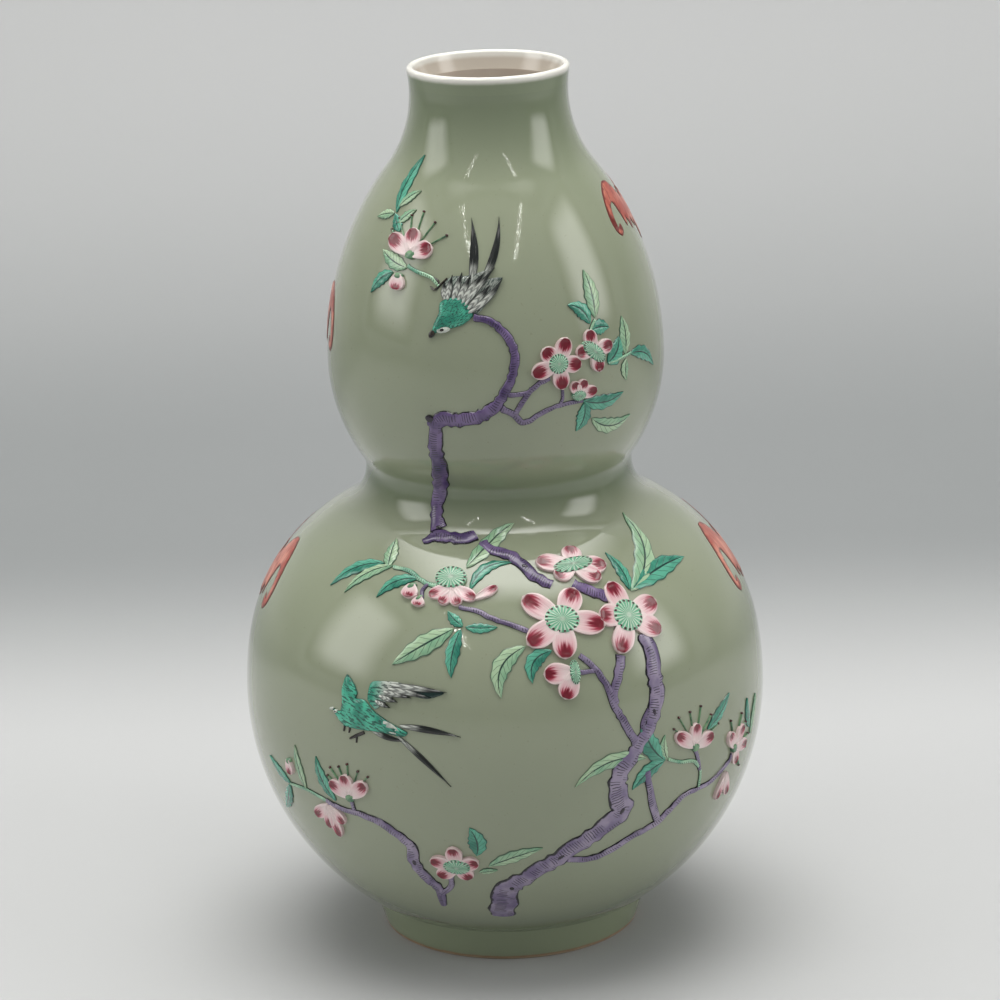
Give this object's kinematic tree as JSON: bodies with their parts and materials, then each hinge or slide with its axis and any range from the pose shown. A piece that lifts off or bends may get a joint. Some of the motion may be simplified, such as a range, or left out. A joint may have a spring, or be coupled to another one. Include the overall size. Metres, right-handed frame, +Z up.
{
  "type": "double gourd vase",
  "caption": "Double gourd vase with a waisted body, short neck, white lip and ring foot, laid with enamelled sprigs of blossom, birds and bats in low relief.",
  "frame": {"origin": "middle of the foot's standing edge, on the table", "axes": "+Z up the axis of the thrown body; -Y is the front, with the picture; +X to the viewer's right"},
  "size_m": [0.207, 0.207, 0.35],
  "materials": {
    "celadon_glaze": "glossy pale celadon glaze, faintly uneven where it pooled",
    "foot_glaze": "glossy celadon glaze with a bare, slightly rusty standing edge",
    "lip_glaze": "glossy white glaze over the rounded rim",
    "stamen_enamel": "raised pale green enamel with dark dots round its edge",
    "petal_enamel": "pink enamel running from white to a crimson tip",
    "bird_enamel": "translucent blue-green enamel with short black pencil strokes",
    "feather_enamel": "black pencilled feathers over white enamel",
    "dark_leaf_enamel": "translucent blue-green enamel with dark veins",
    "pale_leaf_enamel": "translucent yellow-green enamel with fine dark veins",
    "bark_enamel": "aubergine enamel with black hatching and outline",
    "twig_enamel": "thin aubergine enamel, pale green towards the tips",
    "bat_enamel": "thin iron-red enamel with darker lines"
  },
  "bodies": {
    "root": {"foot_ring": "foot_glaze", "lower_bulb_base": "celadon_glaze", "lower_bulb_shoulder": "celadon_glaze", "upper_bulb_base": "celadon_glaze", "upper_bulb_shoulder": "celadon_glaze", "neck": "celadon_glaze", "lip": "lip_glaze", "upper_stamens": "stamen_enamel", "lower_stamens": "stamen_enamel", "upper_buds": "petal_enamel", "lower_buds": "petal_enamel", "upper_petals": "petal_enamel", "lower_petals": "petal_enamel", "perched_bird_body": "bird_enamel", "flying_bird_body": "bird_enamel", "perched_bird_wings": "feather_enamel", "flying_bird_wings": "feather_enamel", "perched_bird_tail": "feather_enamel", "flying_bird_tail": "feather_enamel", "upper_dark_leaves": "dark_leaf_enamel", "lower_dark_leaves": "dark_leaf_enamel", "upper_pale_leaves": "pale_leaf_enamel", "lower_pale_leaves": "pale_leaf_enamel", "upper_branch": "bark_enamel", "crossing_branch": "bark_enamel", "main_branch": "bark_enamel", "side_branch": "bark_enamel", "left_branch": "bark_enamel", "upper_twigs": "twig_enamel", "lower_twigs": "twig_enamel", "upper_bats": "bat_enamel", "lower_bats": "bat_enamel"}
  },
  "joints": []
}
